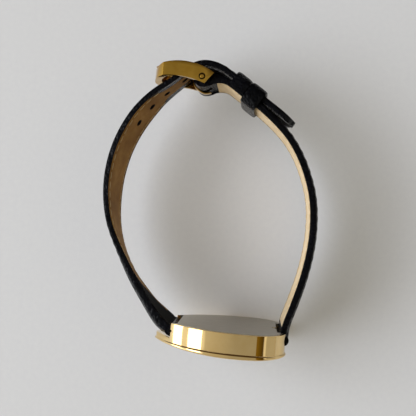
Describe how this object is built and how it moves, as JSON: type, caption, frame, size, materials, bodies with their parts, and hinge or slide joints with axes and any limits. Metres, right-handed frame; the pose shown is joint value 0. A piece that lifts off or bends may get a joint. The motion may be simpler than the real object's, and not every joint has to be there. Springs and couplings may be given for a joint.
{
  "type": "heart-shaped case watch",
  "caption": "Heart-shaped wristwatch with a plain flank, snap back and side crown, on a padded leather strap closed by a pin buckle and two keepers.",
  "frame": {"origin": "on the outer face of the case back, midway between the two strap slots and on the heart's line of symmetry", "axes": "+X from 6 o'clock (the heart's tip) to 12 o'clock, +Y out of the case back towards the buckle, +Z towards 9 o'clock, which is up as the closed watch stands on its side"},
  "size_m": [0.0486, 0.0647, 0.028],
  "materials": {
    "gold_plate": "polished",
    "satin_steel": "satin",
    "seal_rubber": "matte",
    "mineral_glass": "polished",
    "seal_plastic": "matte",
    "dial_enamel": "satin",
    "holder_plastic": "matte",
    "movement_brass": "satin",
    "steel_pins": "polished",
    "cell_steel": "satin",
    "board_laminate": "matte",
    "copper_wire": "satin",
    "iron_core": "satin",
    "gold_hands": "polished",
    "black_leather": "grained",
    "tan_leather": "matte",
    "buckle_gold": "polished"
  },
  "bodies": {
    "watch": {"case_body": "gold_plate", "case_back": "satin_steel", "back_gasket": "seal_rubber", "crystal": "mineral_glass", "crystal_gasket": "seal_plastic", "dial": "dial_enamel", "movement_ring": "holder_plastic", "crown_tube": "movement_brass", "lug_spring_bars": "steel_pins", "main_plate": "movement_brass", "train_bridge": "movement_brass", "bridge_screws": "steel_pins", "battery": "cell_steel", "battery_clip": "movement_brass", "circuit_board": "board_laminate", "quartz_can": "cell_steel", "coil": "copper_wire", "stator": "iron_core", "long_strap_leather": "black_leather", "long_strap_lining": "tan_leather", "short_strap_leather": "black_leather", "short_strap_lining": "tan_leather", "fixed_keeper": "black_leather"},
    "minute_set": {"centre_wheel": "movement_brass", "minute_hand": "gold_hands"},
    "hour_set": {"hour_wheel": "movement_brass", "hour_hand": "gold_hands"},
    "minute_wheel": {"minute_wheel": "movement_brass"},
    "third_wheel": {"third_wheel": "movement_brass"},
    "step_wheel": {"step_wheel": "movement_brass"},
    "rotor": {"rotor": "iron_core"},
    "clutch": {"sliding_pinion": "steel_pins"},
    "crown": {"stem": "steel_pins", "crown": "gold_plate"},
    "setting_lever": {"setting_lever": "steel_pins"},
    "buckle": {"buckle_frame": "buckle_gold", "buckle_bar": "buckle_gold"},
    "tang": {"tang": "buckle_gold"},
    "loose_keeper": {"loose_keeper": "black_leather"}
  },
  "joints": [
    {"name": "minute_hand_turn", "type": "hinge", "parent": "watch", "child": "minute_set", "pos_m": [-0.0003, -0.002, 0], "axis": [0, 1, 0], "continuous": true},
    {"name": "hour_hand_turn", "type": "hinge", "parent": "watch", "child": "hour_set", "pos_m": [-0.0003, -0.002, 0], "axis": [0, 1, 0], "continuous": true},
    {"name": "minute_wheel_turn", "type": "hinge", "parent": "watch", "child": "minute_wheel", "pos_m": [-0.00168, -0.002, -0.00197], "axis": [0, 1, 0], "continuous": true},
    {"name": "third_wheel_turn", "type": "hinge", "parent": "watch", "child": "third_wheel", "pos_m": [0.00108, -0.002, 0.00238], "axis": [0, 1, 0], "continuous": true},
    {"name": "step_wheel_turn", "type": "hinge", "parent": "watch", "child": "step_wheel", "pos_m": [-0.00109, -0.002, 0.00363], "axis": [0, 1, 0], "continuous": true},
    {"name": "rotor_turn", "type": "hinge", "parent": "watch", "child": "rotor", "pos_m": [-0.00345, -0.002, 0.00321], "axis": [0, 1, 0], "continuous": true},
    {"name": "crown_turn", "type": "hinge", "parent": "watch", "child": "clutch", "pos_m": [-0.0003, -0.00165, 0], "axis": [0, 0, -1], "continuous": true},
    {"name": "crown_pull", "type": "slide", "parent": "clutch", "child": "crown", "axis": [0, 0, -1], "range_m": [0, 0.0008]},
    {"name": "lever_swing", "type": "hinge", "parent": "watch", "child": "setting_lever", "pos_m": [-0.00282, -0.001, -0.0066], "axis": [0, 1, 0], "range_deg": [0, 21]},
    {"name": "buckle_lift", "type": "hinge", "parent": "watch", "child": "buckle", "pos_m": [-0.00993, 0.05493, 0], "axis": [0, 0, -1], "range_deg": [0, 4]},
    {"name": "tang_lift", "type": "hinge", "parent": "buckle", "child": "tang", "pos_m": [-0.00993, 0.05493, 0], "axis": [0, 0, -1], "range_deg": [0, 4]},
    {"name": "keeper_slide", "type": "slide", "parent": "watch", "child": "loose_keeper", "axis": [0.8241, -0.5664, 0], "range_m": [0, 0.0015]}
  ],
  "couplings": [
    {"joint": "hour_hand_turn", "follows": "minute_hand_turn", "ratio": 0.083333},
    {"joint": "minute_wheel_turn", "follows": "minute_hand_turn", "ratio": -0.33333},
    {"joint": "third_wheel_turn", "follows": "minute_hand_turn", "ratio": -4.5},
    {"joint": "step_wheel_turn", "follows": "minute_hand_turn", "ratio": 18},
    {"joint": "rotor_turn", "follows": "minute_hand_turn", "ratio": -90},
    {"joint": "lever_swing", "follows": "crown_pull", "rad_per_m": 457.09}
  ]
}
